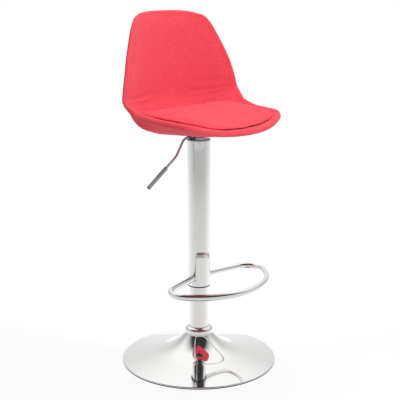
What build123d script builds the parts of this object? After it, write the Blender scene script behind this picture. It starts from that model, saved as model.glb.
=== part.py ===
"""Adjustable swivel bar stool with an upholstered bucket seat on a gas-lift column.

Millimetres, +Z up. The origin is on the floor under the column, and the seat faces -Y,
so the release lever on the sitter's right is on the -X side. The lift is at its lowest.
"""
import math
import os

from build123d import *

# Clearances between neighbours
weld_gap = 0.1
slide_gap = 0.3
shaft_gap = 0.05

# Trumpet base
base_radius = 200.0
dish_sheet = 1.8
dish_lip = 9.0
dish_round = 5.0
dish_slope = 6.0
neck_radius = 34.0
neck_top = 76.0
neck_slope = 75.0
floor_ring_height = 3.0
floor_ring_width = 10.0
floor_ring_wall = 3.0
floor_ring_chamfer = 1.0
socket_radius = 32.0
socket_bottom = 8.0
rib_count = 4
rib_sheet = 3.0
rib_reach = 105.0
rib_turn = 45.0
collar_height = 16.0
collar_skirt = 3.0
collar_wall = 2.0
collar_shoulder = 28.0

# Stand tube with the thrust bearing in its foot
stand_radius = 25.0
stand_wall = 1.5
stand_foot_radius = 24.0
stand_bottom = 10.0
stand_floor = 4.0
stand_top = 520.0
guide_length = 80.0
guide_flange = 3.0
race_radius = 15.0
race_sheet = 2.0
ball_radius = 2.0
ball_circle = 10.5
ball_count = 12
cage_height = 1.6
cage_width = 4.0
bumper_radius = 15.0
bumper_height = 16.0
clip_radius = 8.0
clip_sheet = 1.5
clip_groove = 1.0

# Gas spring
lift_travel = 210.0
rod_radius = 5.0
rod_foot_radius = 4.0
rod_foot_end = 3.0
piston_length = 14.0
piston_groove = 4.0
rod_rivet = 2.0
gland_length = 16.0
cylinder_radius = 14.0
cylinder_wall = 1.5
taper_length = 30.0
plug_length = 8.0
taper_narrowing = 1.0
cylinder_proud = 2.0
pin_radius = 2.5
pin_button_radius = 4.0
pin_button_height = 3.0
pin_button_chamfer = 1.0
pin_length = 40.0

# Cover tube and footrest
cover_radius = 29.0
cover_wall = 1.5
cover_bottom = 205.0
cover_top = 583.0
lip_bush_height = 3.0
lip_bush_depth = 20.0
top_bush_flange = 2.0
top_bush_depth = 16.0
rest_height = 228.0
rest_tube_radius = 8.0
rest_tube_wall = 1.5
rest_half_width = 158.0
rest_reach = 174.0
rest_corner_radius = 42.0
rest_front_radius = 178.0

# Seat plate, hub and release lever
hub_radius = 22.0
hub_chamber_radius = 16.0
hub_floor = 580.0
plate_bottom = 602.5
plate_sheet = 2.5
plate_side = 110.0
plate_corner = 14.0
plate_flange = 2.5
lever_notch = 26.0
screw_spacing = 84.0
screw_radius = 3.0
screw_head_radius = 6.0
screw_head_height = 4.0
screw_head_flat = 3.6
screw_head_round = 2.0
washer_radius = 6.5
washer_sheet = 1.6
insert_wall = 2.0
insert_length = 10.5
lever_radius = 3.0
lever_height = 593.0
lever_pivot_x = -31.0
lever_tip_x = 3.0
lever_knee_x = -54.0
lever_drop_x = -83.0
lever_drop_z = 552.0
lever_end_x = -179.0
lever_end_z = 490.0
lever_bend = 12.0
eye_radius = 5.0
pivot_radius = 1.6
cheek_sheet = 3.0
cheek_half_height = 6.5
cheek_reach = 7.0
grip_radius = 4.9
grip_length = 72.0
grip_round = 2.0

# Upholstered bucket shell
shell_front = -169.0
shell_front_height = 621.0
shell_low_y = 14.5
shell_low_height = 612.5
shell_bend = 95.0
shell_top_height = 895.0
back_lean = 6.0
hip_half_width = 204.0
side_wrap = 63.0
shell_wall = 4.0
front_padding = 8.0
back_padding = 5.0
rim_bulge = 0.46
shell_inset = 12.0
boss_radius = 9.0
layer_gap = 0.3
pad_gap = 0.5
pad_edge = 6.0
pad_crown = 38.0
pad_inset = 15.0

# Stations of the shell: stretch of the centre line, place on it, the half width and the forward
# wrap of the sides there as shares of the hips', and the flat share of the half width
STATIONS = [
    ("seat", 0.000, 0.290, 0.038, 0.00), ("seat", 0.030, 0.425, 0.085, 0.10), ("seat", 0.093, 0.580, 0.160, 0.25),
    ("seat", 0.180, 0.710, 0.240, 0.40), ("seat", 0.305, 0.805, 0.350, 0.50), ("seat", 0.496, 0.838, 0.445, 0.57),
    ("seat", 0.714, 0.866, 0.550, 0.58), ("seat", 0.921, 0.922, 0.700, 0.53), ("bend", 0.100, 0.965, 0.825, 0.44),
    ("bend", 0.250, 0.988, 0.895, 0.32), ("bend", 0.400, 0.995, 0.930, 0.20), ("bend", 0.570, 0.985, 0.950, 0.10),
    ("bend", 0.770, 0.970, 0.965, 0.04), ("back", 0.000, 0.955, 0.976, 0.00), ("back", 0.280, 0.875, 0.952, 0.00),
    ("back", 0.570, 0.745, 0.810, 0.00), ("back", 0.780, 0.630, 0.587, 0.00), ("back", 0.880, 0.540, 0.430, 0.00),
    ("back", 0.945, 0.430, 0.262, 0.00), ("back", 1.000, 0.280, 0.110, 0.00),
]
SECTION_SHARES = [0.30, 0.55, 0.72, 0.87, 1.00]
END_FADE = [0.50, 0.80]
PAD_STATIONS = slice(2, 12)
PAD_SHARES = [0.72, 0.92, 0.98, 1.00, 1.00, 1.00, 0.95, 0.84, 0.64, 0.32]
PAD_FILL = [0.20, 0.48, 0.76, 0.93, 1.00, 0.94, 0.80, 0.58, 0.34, 0.12]


def turned(points):
    """A part turned about the column from its half outline of (radius, height) points."""
    outline = make_face(Polyline([(r, 0, z) for r, z in points], close=True))
    return revolve(outline, Axis.Z)


def ring(inner, outer, bottom, top):
    """A plain ring about the column."""
    return turned([(inner, bottom), (outer, bottom), (outer, top), (inner, top)])


def around(shape, count):
    """Copies of a shape spaced evenly about the column."""
    return [Rot(0, 0, 360.0 * k / count) * shape for k in range(count)]


# Base

def sloped(degrees):
    """Unit step (radial, height) square to a surface that falls outwards at this slope."""
    angle = math.radians(degrees)
    return math.sin(angle), math.cos(angle)


def dish_outline(depth):
    """The dish's half outline at a depth under its outer face: neck, flare, slope and lip."""
    neck_out, neck_up = sloped(neck_slope)
    slope_out, slope_up = sloped(dish_slope)
    lip_top = floor_ring_height + dish_lip
    fall = math.tan(math.radians(dish_slope))
    flare = neck_top - lip_top - (base_radius - neck_radius) * fall
    flare /= (slope_up - neck_up) - (neck_out - slope_out) * fall
    centre = (neck_radius + flare * neck_out, neck_top + flare * neck_up)
    reach = flare + depth
    middle = sloped((neck_slope + dish_slope) / 2)
    start, bend, end = [(centre[0] - reach * out, centre[1] - reach * up)
                        for out, up in (sloped(neck_slope), middle, sloped(dish_slope))]
    lip_radius = base_radius - depth
    corner = (lip_radius, end[1] - (lip_radius - end[0]) * fall)
    return start, bend, end, corner


def lifted(point):
    """An outline point (radius, height) in the XZ plane."""
    return (point[0], 0, point[1])


def base_dish():
    start, bend, end, corner = [lifted(p) for p in dish_outline(0)]
    in_start, in_bend, in_end, in_corner = [lifted(p) for p in dish_outline(dish_sheet)]
    lip = (corner[0], 0, floor_ring_height)
    in_lip = (in_corner[0], 0, floor_ring_height)
    outline = Wire([
        ThreePointArc(start, bend, end), Line(end, corner), Line(corner, lip), Line(lip, in_lip),
        Line(in_lip, in_corner), Line(in_corner, in_end), ThreePointArc(in_end, in_bend, in_start),
        Line(in_start, start),
    ])
    dish = revolve(make_face(outline), Axis.Z)
    for depth in (0, dish_sheet):
        radius = base_radius - depth
        rims = [e for e in dish.edges().filter_by(GeomType.CIRCLE) if abs(e.radius - radius) < weld_gap]
        dish = fillet(ShapeList(rims).sort_by(Axis.Z)[-1], dish_round - depth)
    return dish


def floor_ring():
    outer = base_radius - dish_sheet
    upstand_top = floor_ring_height + dish_lip - dish_round - weld_gap
    return turned([
        (base_radius - floor_ring_width, 0), (outer, 0), (base_radius - weld_gap, floor_ring_chamfer),
        (base_radius - weld_gap, floor_ring_height), (outer - weld_gap, floor_ring_height),
        (outer - weld_gap, upstand_top), (outer - floor_ring_wall, upstand_top),
        (outer - floor_ring_wall, floor_ring_height), (base_radius - floor_ring_width, floor_ring_height),
    ])


socket_top = neck_top - dish_sheet


def stand_taper_radius(height):
    """Outer radius of the stand tube's tapered foot at a height."""
    share = (height - stand_bottom) / (socket_top - stand_bottom)
    return stand_foot_radius + (stand_radius - stand_foot_radius) * share


def base_socket():
    return turned([
        (stand_taper_radius(socket_bottom) + weld_gap, socket_bottom), (socket_radius, socket_bottom),
        (socket_radius, socket_top), (stand_taper_radius(socket_top) + weld_gap, socket_top),
    ])


def base_ribs():
    start, bend, end, corner = [lifted(p) for p in dish_outline(dish_sheet + weld_gap)]
    under = Wire([
        ThreePointArc(start, bend, end), Line(end, corner), Line(corner, (corner[0], 0, 0)),
        Line((corner[0], 0, 0), (0, 0, 0)), Line((0, 0, 0), (0, 0, start[2])),
        Line((0, 0, start[2]), start),
    ])
    hollow = revolve(make_face(under), Axis.Z)
    inner = math.sqrt((socket_radius + weld_gap) ** 2 + (rib_sheet / 2) ** 2)
    length = rib_reach - inner
    middle = (inner + rib_reach) / 2
    blank = Pos(middle, 0, socket_bottom + neck_top / 2) * Box(length, rib_sheet, neck_top)
    return [(Rot(0, 0, rib_turn) * rib) & hollow for rib in around(blank, rib_count)]


def base_collar():
    bore = stand_radius + weld_gap
    seat = neck_top + weld_gap
    top = neck_top + collar_height
    skirt = neck_radius + collar_skirt / math.tan(math.radians(neck_slope)) + slide_gap
    outer = skirt + collar_wall
    low = neck_top - collar_skirt
    high = neck_top + collar_skirt
    middle = ((outer + collar_shoulder) / 2 + collar_wall, 0, (high + top) / 2 + collar_wall)
    sides = Polyline((collar_shoulder, 0, top), (bore, 0, top), (bore, 0, seat), (skirt, 0, seat),
                     (skirt, 0, low), (outer, 0, low), (outer, 0, high))
    crown = ThreePointArc((outer, 0, high), middle, (collar_shoulder, 0, top))
    return revolve(make_face(Wire([*sides.edges(), crown])), Axis.Z)


# Stand tube and bearing

race_bottom = stand_bottom + stand_floor
ball_height = race_bottom + race_sheet + ball_radius
upper_race_bottom = ball_height + ball_radius
rod_shoulder = upper_race_bottom + race_sheet
bumper_top = rod_shoulder + bumper_height


def stand_tube():
    bore = stand_radius - stand_wall
    hole = rod_foot_radius + slide_gap
    return turned([
        (hole, stand_bottom), (stand_foot_radius, stand_bottom), (stand_radius, socket_top),
        (stand_radius, stand_top), (bore, stand_top), (bore, socket_top),
        (stand_foot_radius - stand_wall, race_bottom), (hole, race_bottom),
    ])


def guide_bush():
    bore = cylinder_radius + shaft_gap
    body = stand_radius - stand_wall - weld_gap
    top = stand_top + guide_flange
    return turned([
        (bore, stand_top - guide_length), (body, stand_top - guide_length), (body, stand_top),
        (stand_radius, stand_top), (stand_radius, top), (bore, top),
    ])


def lower_race():
    return ring(rod_foot_radius + slide_gap, race_radius, race_bottom, race_bottom + race_sheet)


def upper_race():
    return ring(rod_foot_radius + shaft_gap, race_radius, upper_race_bottom, rod_shoulder)


def ball_at(radius):
    return Pos(ball_circle, 0, ball_height) * Sphere(radius)


def bearing_balls():
    return around(ball_at(ball_radius - shaft_gap), ball_count)


def ball_cage():
    half = cage_height / 2
    inner = ball_circle - cage_width / 2
    cage = ring(inner, inner + cage_width, ball_height - half, ball_height + half)
    for pocket in around(ball_at(ball_radius + shaft_gap), ball_count):
        cage -= pocket
    return cage


def bumper():
    return ring(rod_radius + shaft_gap, bumper_radius, rod_shoulder, bumper_top)


clip_top = stand_bottom - slide_gap
clip_bottom = clip_top - clip_sheet


def retaining_clip():
    clip = ring(rod_foot_radius - clip_groove + shaft_gap, clip_radius, clip_bottom, clip_top)
    opening = 2 * (rod_foot_radius - clip_groove)
    mouth = Pos(clip_radius / 2, 0, clip_bottom) * Box(clip_radius, opening, 2 * clip_top)
    return clip - mouth


# Gas spring

cylinder_bottom = bumper_top + slide_gap
piston_bottom = cylinder_bottom + gland_length + lift_travel + slide_gap
piston_top = piston_bottom + piston_length
cylinder_top = hub_floor + cylinder_proud
taper_bottom = cylinder_top - taper_length
taper_top_radius = cylinder_radius - taper_narrowing


def piston_rod():
    groove = rod_foot_radius - clip_groove
    end = clip_bottom - rod_foot_end
    top = piston_top + rod_rivet
    return turned([
        (0, end), (rod_foot_radius, end), (rod_foot_radius, clip_bottom), (groove, clip_bottom),
        (groove, clip_top), (rod_foot_radius, clip_top), (rod_foot_radius, rod_shoulder),
        (rod_radius, rod_shoulder), (rod_radius, top), (0, top),
    ])


def piston():
    outer = cylinder_radius - cylinder_wall - shaft_gap
    groove = (piston_bottom + piston_top) / 2
    half = piston_groove / 2
    return turned([
        (rod_radius, piston_bottom), (outer, piston_bottom), (outer, groove - half),
        (outer - half, groove - half), (outer - half, groove + half), (outer, groove + half),
        (outer, piston_top), (rod_radius, piston_top),
    ])


def piston_ring():
    outer = cylinder_radius - cylinder_wall - shaft_gap
    groove = (piston_bottom + piston_top) / 2
    half = piston_groove / 2
    return ring(outer - half + shaft_gap, outer, groove - half + shaft_gap, groove + half - shaft_gap)


def rod_gland():
    top = cylinder_bottom + gland_length
    return ring(rod_radius + shaft_gap, cylinder_radius - cylinder_wall, cylinder_bottom, top)


def gas_cylinder():
    bore = cylinder_radius - cylinder_wall
    plug = taper_bottom - plug_length
    hole = pin_radius + shaft_gap
    return turned([
        (bore, cylinder_bottom), (cylinder_radius, cylinder_bottom), (cylinder_radius, taper_bottom),
        (taper_top_radius, cylinder_top), (hole, cylinder_top), (hole, plug), (bore, plug),
    ])


pin_top = lever_height - lever_radius - slide_gap


def release_pin():
    collar = pin_top - pin_button_height
    return turned([
        (0, pin_top - pin_length), (pin_radius, pin_top - pin_length), (pin_radius, collar),
        (pin_button_radius, collar + pin_button_chamfer), (pin_button_radius, pin_top), (0, pin_top),
    ])


# Cover tube and footrest

def cover_tube():
    return ring(cover_radius - cover_wall, cover_radius, cover_bottom, cover_top)


def cover_lip_bush():
    bore = stand_radius + slide_gap
    body = cover_radius - cover_wall - shaft_gap
    return turned([
        (bore, cover_bottom - lip_bush_height), (cover_radius, cover_bottom - lip_bush_height),
        (cover_radius, cover_bottom), (body, cover_bottom), (body, cover_bottom + lip_bush_depth),
        (bore, cover_bottom + lip_bush_depth),
    ])


def cover_top_bush():
    bore = hub_radius + shaft_gap
    body = cover_radius - cover_wall - shaft_gap
    top = cover_top + top_bush_flange
    return turned([
        (bore, cover_top - top_bush_depth), (body, cover_top - top_bush_depth), (body, cover_top),
        (cover_radius, cover_top), (cover_radius, top), (bore, top),
    ])


def footrest_path():
    """Two arms from the column, tight corners and a wide front bow, tangent all the way."""
    bow = (0.0, rest_front_radius - rest_reach)
    corner_x = rest_half_width - rest_corner_radius
    step = rest_front_radius - rest_corner_radius
    corner = (corner_x, bow[1] - math.sqrt(step ** 2 - corner_x ** 2))
    distance = math.hypot(*corner)
    arm = math.atan2(corner[1], corner[0]) + math.asin(rest_corner_radius / distance)
    arm_end = arm + math.pi / 2
    bow_end = math.atan2(corner[1] - bow[1], corner[0])

    def on_corner(angle, side):
        x = corner[0] + rest_corner_radius * math.cos(angle)
        return (side * x, corner[1] + rest_corner_radius * math.sin(angle), rest_height)

    root = cover_radius - 2 * cover_wall
    pieces = []
    for side in (1, -1):
        start = (side * root * math.cos(arm), root * math.sin(arm), rest_height)
        turn = [on_corner(a, side) for a in (arm_end, (arm_end + bow_end) / 2, bow_end)]
        pieces.append([Line(start, turn[0]), ThreePointArc(*turn), turn[2]])
    front = ThreePointArc(pieces[0][2], (0, -rest_reach, rest_height), pieces[1][2])
    return Wire([pieces[0][0], pieces[0][1], front, pieces[1][1], pieces[1][0]])


def footrest_loop():
    path = footrest_path()
    start = Plane(origin=path @ 0, z_dir=path % 0)
    section = Circle(rest_tube_radius) - Circle(rest_tube_radius - rest_tube_wall)
    loop = sweep(start * section, path=path)
    return loop - Pos(0, 0, rest_height) * Cylinder(cover_radius + weld_gap, 4 * rest_tube_radius)


# Seat plate, hub and lever

def seat_hub():
    slope = taper_narrowing / taper_length
    wide = cylinder_radius + shaft_gap
    narrow = wide - slope * (hub_floor - taper_bottom)
    hub = turned([
        (wide, taper_bottom), (hub_radius, taper_bottom), (hub_radius, plate_bottom),
        (hub_chamber_radius, plate_bottom), (hub_chamber_radius, hub_floor), (narrow, hub_floor),
    ])
    slot_side = 2 * (lever_radius + 2 * slide_gap)
    slot = Pos(-hub_radius, 0, lever_height) * Box(2 * hub_radius, slot_side, 2 * cheek_half_height)
    return hub - slot


def seat_plate():
    blank = RectangleRounded(plate_side, plate_side, plate_corner)
    inside = plate_side - 2 * plate_sheet
    core = RectangleRounded(inside, inside, plate_corner - plate_sheet)
    plate = Pos(0, 0, plate_bottom) * extrude(blank, plate_sheet)
    flange = Pos(0, 0, plate_bottom - plate_flange) * extrude(blank - core, plate_flange)
    plate = plate + flange
    for x, y in screw_places():
        plate -= Pos(x, y, plate_bottom) * Cylinder(screw_radius + slide_gap, 4 * plate_sheet)
    notch = Box(4 * plate_sheet, lever_notch, plate_flange)
    return plate - Pos(-plate_side / 2, 0, plate_bottom - plate_flange / 2) * notch


def screw_places():
    half = screw_spacing / 2
    return [(x, y) for x in (-half, half) for y in (-half, half)]


def at_screws(shape):
    return [Pos(x, y, 0) * shape for x, y in screw_places()]


washer_bottom = plate_bottom - washer_sheet
insert_bottom = plate_bottom + plate_sheet
insert_top = insert_bottom + insert_length


def seat_screws():
    head = washer_bottom - screw_head_height
    shank = screw_radius - shaft_gap
    screw = turned([
        (0, head), (screw_head_flat, head), (screw_head_radius, head + screw_head_round),
        (screw_head_radius, washer_bottom), (shank, washer_bottom), (shank, insert_top), (0, insert_top),
    ])
    return at_screws(screw)


def screw_washers():
    return at_screws(ring(screw_radius + slide_gap, washer_radius, washer_bottom, plate_bottom))


def threaded_inserts():
    return at_screws(ring(screw_radius, screw_radius + insert_wall, insert_bottom, insert_top))


def across(x, radius, half_length):
    """A cylinder along Y through the lever's pivot height."""
    return Pos(x, 0, lever_height) * Rot(90, 0, 0) * Cylinder(radius, 2 * half_length)


def lever_bracket():
    inner = lever_radius + slide_gap
    outer = inner + cheek_sheet
    length = -lever_pivot_x + cheek_reach
    block = Box(length, 2 * outer, 2 * cheek_half_height) - Box(length, 2 * inner, 2 * cheek_half_height)
    block = Pos(-length / 2, 0, lever_height) * block
    block -= Pos(0, 0, lever_height) * Cylinder(hub_radius + weld_gap, 4 * cheek_half_height)
    return block - across(lever_pivot_x, pivot_radius, outer)


def lever_pivot():
    return across(lever_pivot_x, pivot_radius, lever_radius + slide_gap + cheek_sheet)


def grip_direction():
    run = (lever_end_x - lever_drop_x, 0, lever_end_z - lever_drop_z)
    return Vector(*run).normalized()


def lever_rod():
    points = [
        (lever_tip_x, 0, lever_height), (lever_knee_x, 0, lever_height),
        (lever_drop_x, 0, lever_drop_z), (lever_end_x, 0, lever_end_z),
    ]
    path = FilletPolyline(points, radius=lever_bend)
    rod = sweep(Plane(origin=path @ 0, z_dir=path % 0) * Circle(lever_radius), path=path)
    rod += across(lever_pivot_x, eye_radius, lever_radius)
    return rod - across(lever_pivot_x, pivot_radius + shaft_gap, 2 * lever_radius)


def lever_grip():
    end = Vector(lever_end_x, 0, lever_end_z)
    place = Plane(origin=end - grip_direction() * grip_length, z_dir=grip_direction())
    body = extrude(Circle(grip_radius), grip_length + grip_round)
    body = fillet(body.edges().filter_by(GeomType.CIRCLE), grip_round)
    bore = extrude(Circle(lever_radius + shaft_gap), grip_length)
    return place * (body - bore)


# Upholstered shell

seat_tilt = math.atan2(shell_front_height - shell_low_height, shell_low_y - shell_front)
back_rise = math.pi / 2 - math.radians(back_lean)
bend_turn = back_rise + seat_tilt


def bend_point(heading):
    """Point (y, z) on the bend between seat and back, where the centre line has this heading."""
    middle_y = shell_low_y + shell_bend * math.sin(seat_tilt)
    middle_z = shell_low_height + shell_bend * math.cos(seat_tilt)
    return middle_y + shell_bend * math.sin(heading), middle_z - shell_bend * math.cos(heading)


def centre_line(stretch, share):
    """Point (y, z) and heading of the shell's centre line, on one stretch of it."""
    if stretch == "seat":
        y = shell_front + (shell_low_y - shell_front) * share
        z = shell_front_height + (shell_low_height - shell_front_height) * share
        return y, z, -seat_tilt
    if stretch == "bend":
        heading = -seat_tilt + bend_turn * share
        return *bend_point(heading), heading
    y, z = bend_point(back_rise)
    rise = (shell_top_height - z) * share
    return y + rise / math.tan(back_rise), z + rise, back_rise


class Station:
    """One cross-section of the bucket, square to its centre line: flat in the middle, with round sides."""

    def __init__(self, stretch, share, width_share, wrap_share, flat_share):
        self.y, self.z, self.heading = centre_line(stretch, share)
        half_width = hip_half_width * width_share
        self.flat = half_width * flat_share
        side = half_width - self.flat
        wrap = side_wrap * wrap_share
        self.radius = (side ** 2 + wrap ** 2) / (2 * wrap)
        self.side_turn = 2 * math.atan2(wrap, side)

    def at(self, along, offset):
        """Point at a distance along the section from its middle, offset towards the sitter."""
        angle = max(0.0, abs(along) - self.flat) / self.radius
        reach = self.radius - offset
        x = min(abs(along), self.flat) + reach * math.sin(angle)
        up = self.radius - reach * math.cos(angle)
        return (math.copysign(x, along), self.y - up * math.sin(self.heading), self.z + up * math.cos(self.heading))

    def edge(self, inset=0.0):
        """Distance along the section from its middle to its side edge."""
        return self.flat + self.radius * self.side_turn - inset

    def arc(self, edge, offset):
        """Curve across the section at an offset, from one side to the other."""
        places = [-s for s in reversed(SECTION_SHARES)] + [0.0] + SECTION_SHARES
        return Spline([self.at(edge * place, offset) for place in places])

    def crown(self, edge, offset, middle):
        """Arc over the section that swells from an offset at its sides to another in the middle."""
        return ThreePointArc(self.at(-edge, offset), self.at(0, middle), self.at(edge, offset))

    def layer(self, edge, low, high):
        """Section between two offsets, with plain ends."""
        return self.closed(self.arc(edge, high), self.arc(edge, low))

    def closed(self, upper, lower):
        ends = [Line(upper @ 1, lower @ 1), Line(lower @ 0, upper @ 0)]
        return Face(Wire([upper, ends[0], lower, ends[1]]))

    def padded(self, low, high):
        """Section of the whole upholstered thickness, with rolled edges."""
        edge = self.edge()
        upper = self.arc(edge, high)
        lower = self.arc(edge, low)
        bulge = rim_bulge * (high - low)
        middle = (high + low) / 2
        right = ThreePointArc(upper @ 1, self.at(edge + bulge, middle), lower @ 1)
        left = ThreePointArc(lower @ 0, self.at(-edge - bulge, middle), upper @ 0)
        return Face(Wire([upper, right, lower, left]))


stations = [Station(*row) for row in STATIONS]
half_wall = shell_wall / 2
face_offset = half_wall + front_padding
rear_offset = -half_wall - back_padding


def whole_bucket():
    """Shell, padding and covers together, thinning to a rolled edge at the front and the top."""
    fades = END_FADE + [1.0] * (len(stations) - 2 * len(END_FADE)) + END_FADE[::-1]
    return loft([s.padded(rear_offset * f, face_offset * f) for s, f in zip(stations, fades)])


def bucket_layer(inset, low, high):
    """A layer of the bucket between two offsets, ending short of its rolled edge all round."""
    layer = loft([s.layer(s.edge(inset), low, high) for s in stations])
    span = 4 * hip_half_width
    front = Pos(0, shell_front + inset - span / 2, shell_front_height) * Box(span, span, span)
    top = Pos(0, 0, shell_top_height - inset + span / 2) * Box(span, span, span)
    return layer - front - top


def seat_bosses():
    """Moulded pillars under the shell that take the plate's screws."""
    height = 2 * boss_radius + shell_low_height - insert_bottom
    return at_screws(Pos(0, 0, insert_bottom + height / 2) * Cylinder(boss_radius, height))


def insert_bores():
    radius = screw_radius + insert_wall + shaft_gap
    return at_screws(Pos(0, 0, (insert_bottom + insert_top) / 2) * Cylinder(radius, insert_length))


def upholstered_shell():
    """The moulded shell, the front cover that rolls round its edge, and the rear panel set into that."""
    whole = whole_bucket()
    clear = 2 * (rear_offset - face_offset)
    behind = bucket_layer(shell_inset, clear, half_wall)
    shell = bucket_layer(shell_inset + layer_gap, layer_gap - half_wall, half_wall - layer_gap)
    panel = whole & bucket_layer(shell_inset + weld_gap, clear, -half_wall)
    for boss, bore in zip(seat_bosses(), insert_bores()):
        shell = shell + (boss & behind) - bore
        panel = panel - boss
    return shell, whole - behind, panel


def seat_pad():
    """The crowned cushion that fills the bucket's seat, cut to lie just clear of the front cover."""
    sections = []
    low = face_offset + pad_gap
    for row, share, fill in zip(stations[PAD_STATIONS], PAD_SHARES, PAD_FILL):
        edge = row.edge(pad_inset) * share
        upper = row.crown(edge, low + pad_edge * fill, low + pad_crown * fill)
        sections.append(row.closed(upper, row.arc(edge, low - pad_edge)))
    bed = loft([row.layer(row.edge(), low - pad_crown, low) for row in stations])
    return max((loft(sections) - bed).solids(), key=lambda solid: solid.volume)


seat_shell, front_cover, rear_panel = upholstered_shell()

nodes = {
    "base_dish": base_dish(), "floor_ring": floor_ring(), "base_socket": base_socket(),
    "base_ribs": base_ribs(), "base_collar": base_collar(), "stand_tube": stand_tube(),
    "guide_bush": guide_bush(), "lower_race": lower_race(), "upper_race": upper_race(),
    "bearing_balls": bearing_balls(), "ball_cage": ball_cage(), "bumper": bumper(),
    "retaining_clip": retaining_clip(), "piston_rod": piston_rod(), "piston": piston(),
    "piston_ring": piston_ring(), "rod_gland": rod_gland(), "gas_cylinder": gas_cylinder(),
    "release_pin": release_pin(), "cover_tube": cover_tube(), "cover_lip_bush": cover_lip_bush(),
    "cover_top_bush": cover_top_bush(), "footrest_loop": footrest_loop(), "seat_hub": seat_hub(),
    "seat_plate": seat_plate(), "seat_screws": seat_screws(), "screw_washers": screw_washers(),
    "threaded_inserts": threaded_inserts(), "lever_bracket": lever_bracket(), "lever_pivot": lever_pivot(),
    "lever_rod": lever_rod(), "lever_grip": lever_grip(), "seat_shell": seat_shell,
    "front_cover": front_cover, "rear_panel": rear_panel, "seat_pad": seat_pad(),
}

os.makedirs("parts", exist_ok=True)
for name, shape in nodes.items():
    solids = shape if isinstance(shape, list) else [shape]
    export_step(Compound(children=[s for part in solids for s in part.solids()]), f"parts/{name}.step")
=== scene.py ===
"""Looks of the adjustable swivel stool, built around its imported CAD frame.

The chrome foot, column, footrest and lever are turned and bent anew with fine, smooth faces. The upholstered
bucket is formed over the shell's own curves, and a cloth simulation fills the seat pad. Metres, +Z up, and the
sitter faces -Y.
"""
import logging
import math
from collections.abc import Callable
from dataclasses import dataclass, field
from enum import Enum

import bmesh
import bpy
from mathutils import Matrix, Vector, noise


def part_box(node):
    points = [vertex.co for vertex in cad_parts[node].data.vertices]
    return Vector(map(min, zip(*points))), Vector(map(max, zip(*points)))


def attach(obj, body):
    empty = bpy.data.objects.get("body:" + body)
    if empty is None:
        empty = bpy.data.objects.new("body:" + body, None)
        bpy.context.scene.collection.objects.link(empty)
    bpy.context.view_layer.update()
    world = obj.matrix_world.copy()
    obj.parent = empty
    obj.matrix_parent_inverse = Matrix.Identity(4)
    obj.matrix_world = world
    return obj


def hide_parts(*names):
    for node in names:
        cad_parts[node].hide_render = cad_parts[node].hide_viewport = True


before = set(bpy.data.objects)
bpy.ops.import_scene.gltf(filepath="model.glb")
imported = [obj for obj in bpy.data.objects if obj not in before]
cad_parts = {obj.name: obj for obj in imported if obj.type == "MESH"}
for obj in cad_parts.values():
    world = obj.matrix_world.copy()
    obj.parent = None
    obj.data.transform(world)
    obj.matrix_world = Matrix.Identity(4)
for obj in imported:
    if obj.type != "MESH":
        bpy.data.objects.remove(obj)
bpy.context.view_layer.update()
LOG = logging.getLogger("stool")
MM = 0.001
MERGE = 1e-6
WELD_MM = 0.005
EDGE_ANGLE = math.radians(40)


class Body(Enum):
    """The CAD bodies that pieces ride on."""

    BASE = "base"
    SEAT = "seat"
    LEVER = "lever"


def linear(code: str) -> tuple[float, float, float, float]:
    """Turns an sRGB hex colour into a linear one.

    Args:
        code: six hex digits.

    Returns:
        Linear red, green, blue and an alpha of one.
    """
    parts = [int(code[k:k + 2], 16) / 255 for k in (0, 2, 4)]
    red, green, blue = [p / 12.92 if p <= 0.04045 else ((p + 0.055) / 1.055) ** 2.4 for p in parts]
    return red, green, blue, 1.0


def add(tree: bpy.types.NodeTree, kind: str, inputs: dict | None = None, **settings: object) -> bpy.types.Node:
    """Adds one shader node with its settings and links.

    Args:
        tree: the node tree to add to.
        kind: the node's type name, without its prefix.
        inputs: a value or an output socket for each input, by name or number.
        settings: the node's own properties.

    Returns:
        The new node.
    """
    node = tree.nodes.new("ShaderNode" + kind)
    for name, value in settings.items():
        setattr(node, name, value)
    for key, value in (inputs or {}).items():
        if isinstance(value, bpy.types.NodeSocket):
            tree.links.new(value, node.inputs[key])
        else:
            node.inputs[key].default_value = value
    return node


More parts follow.
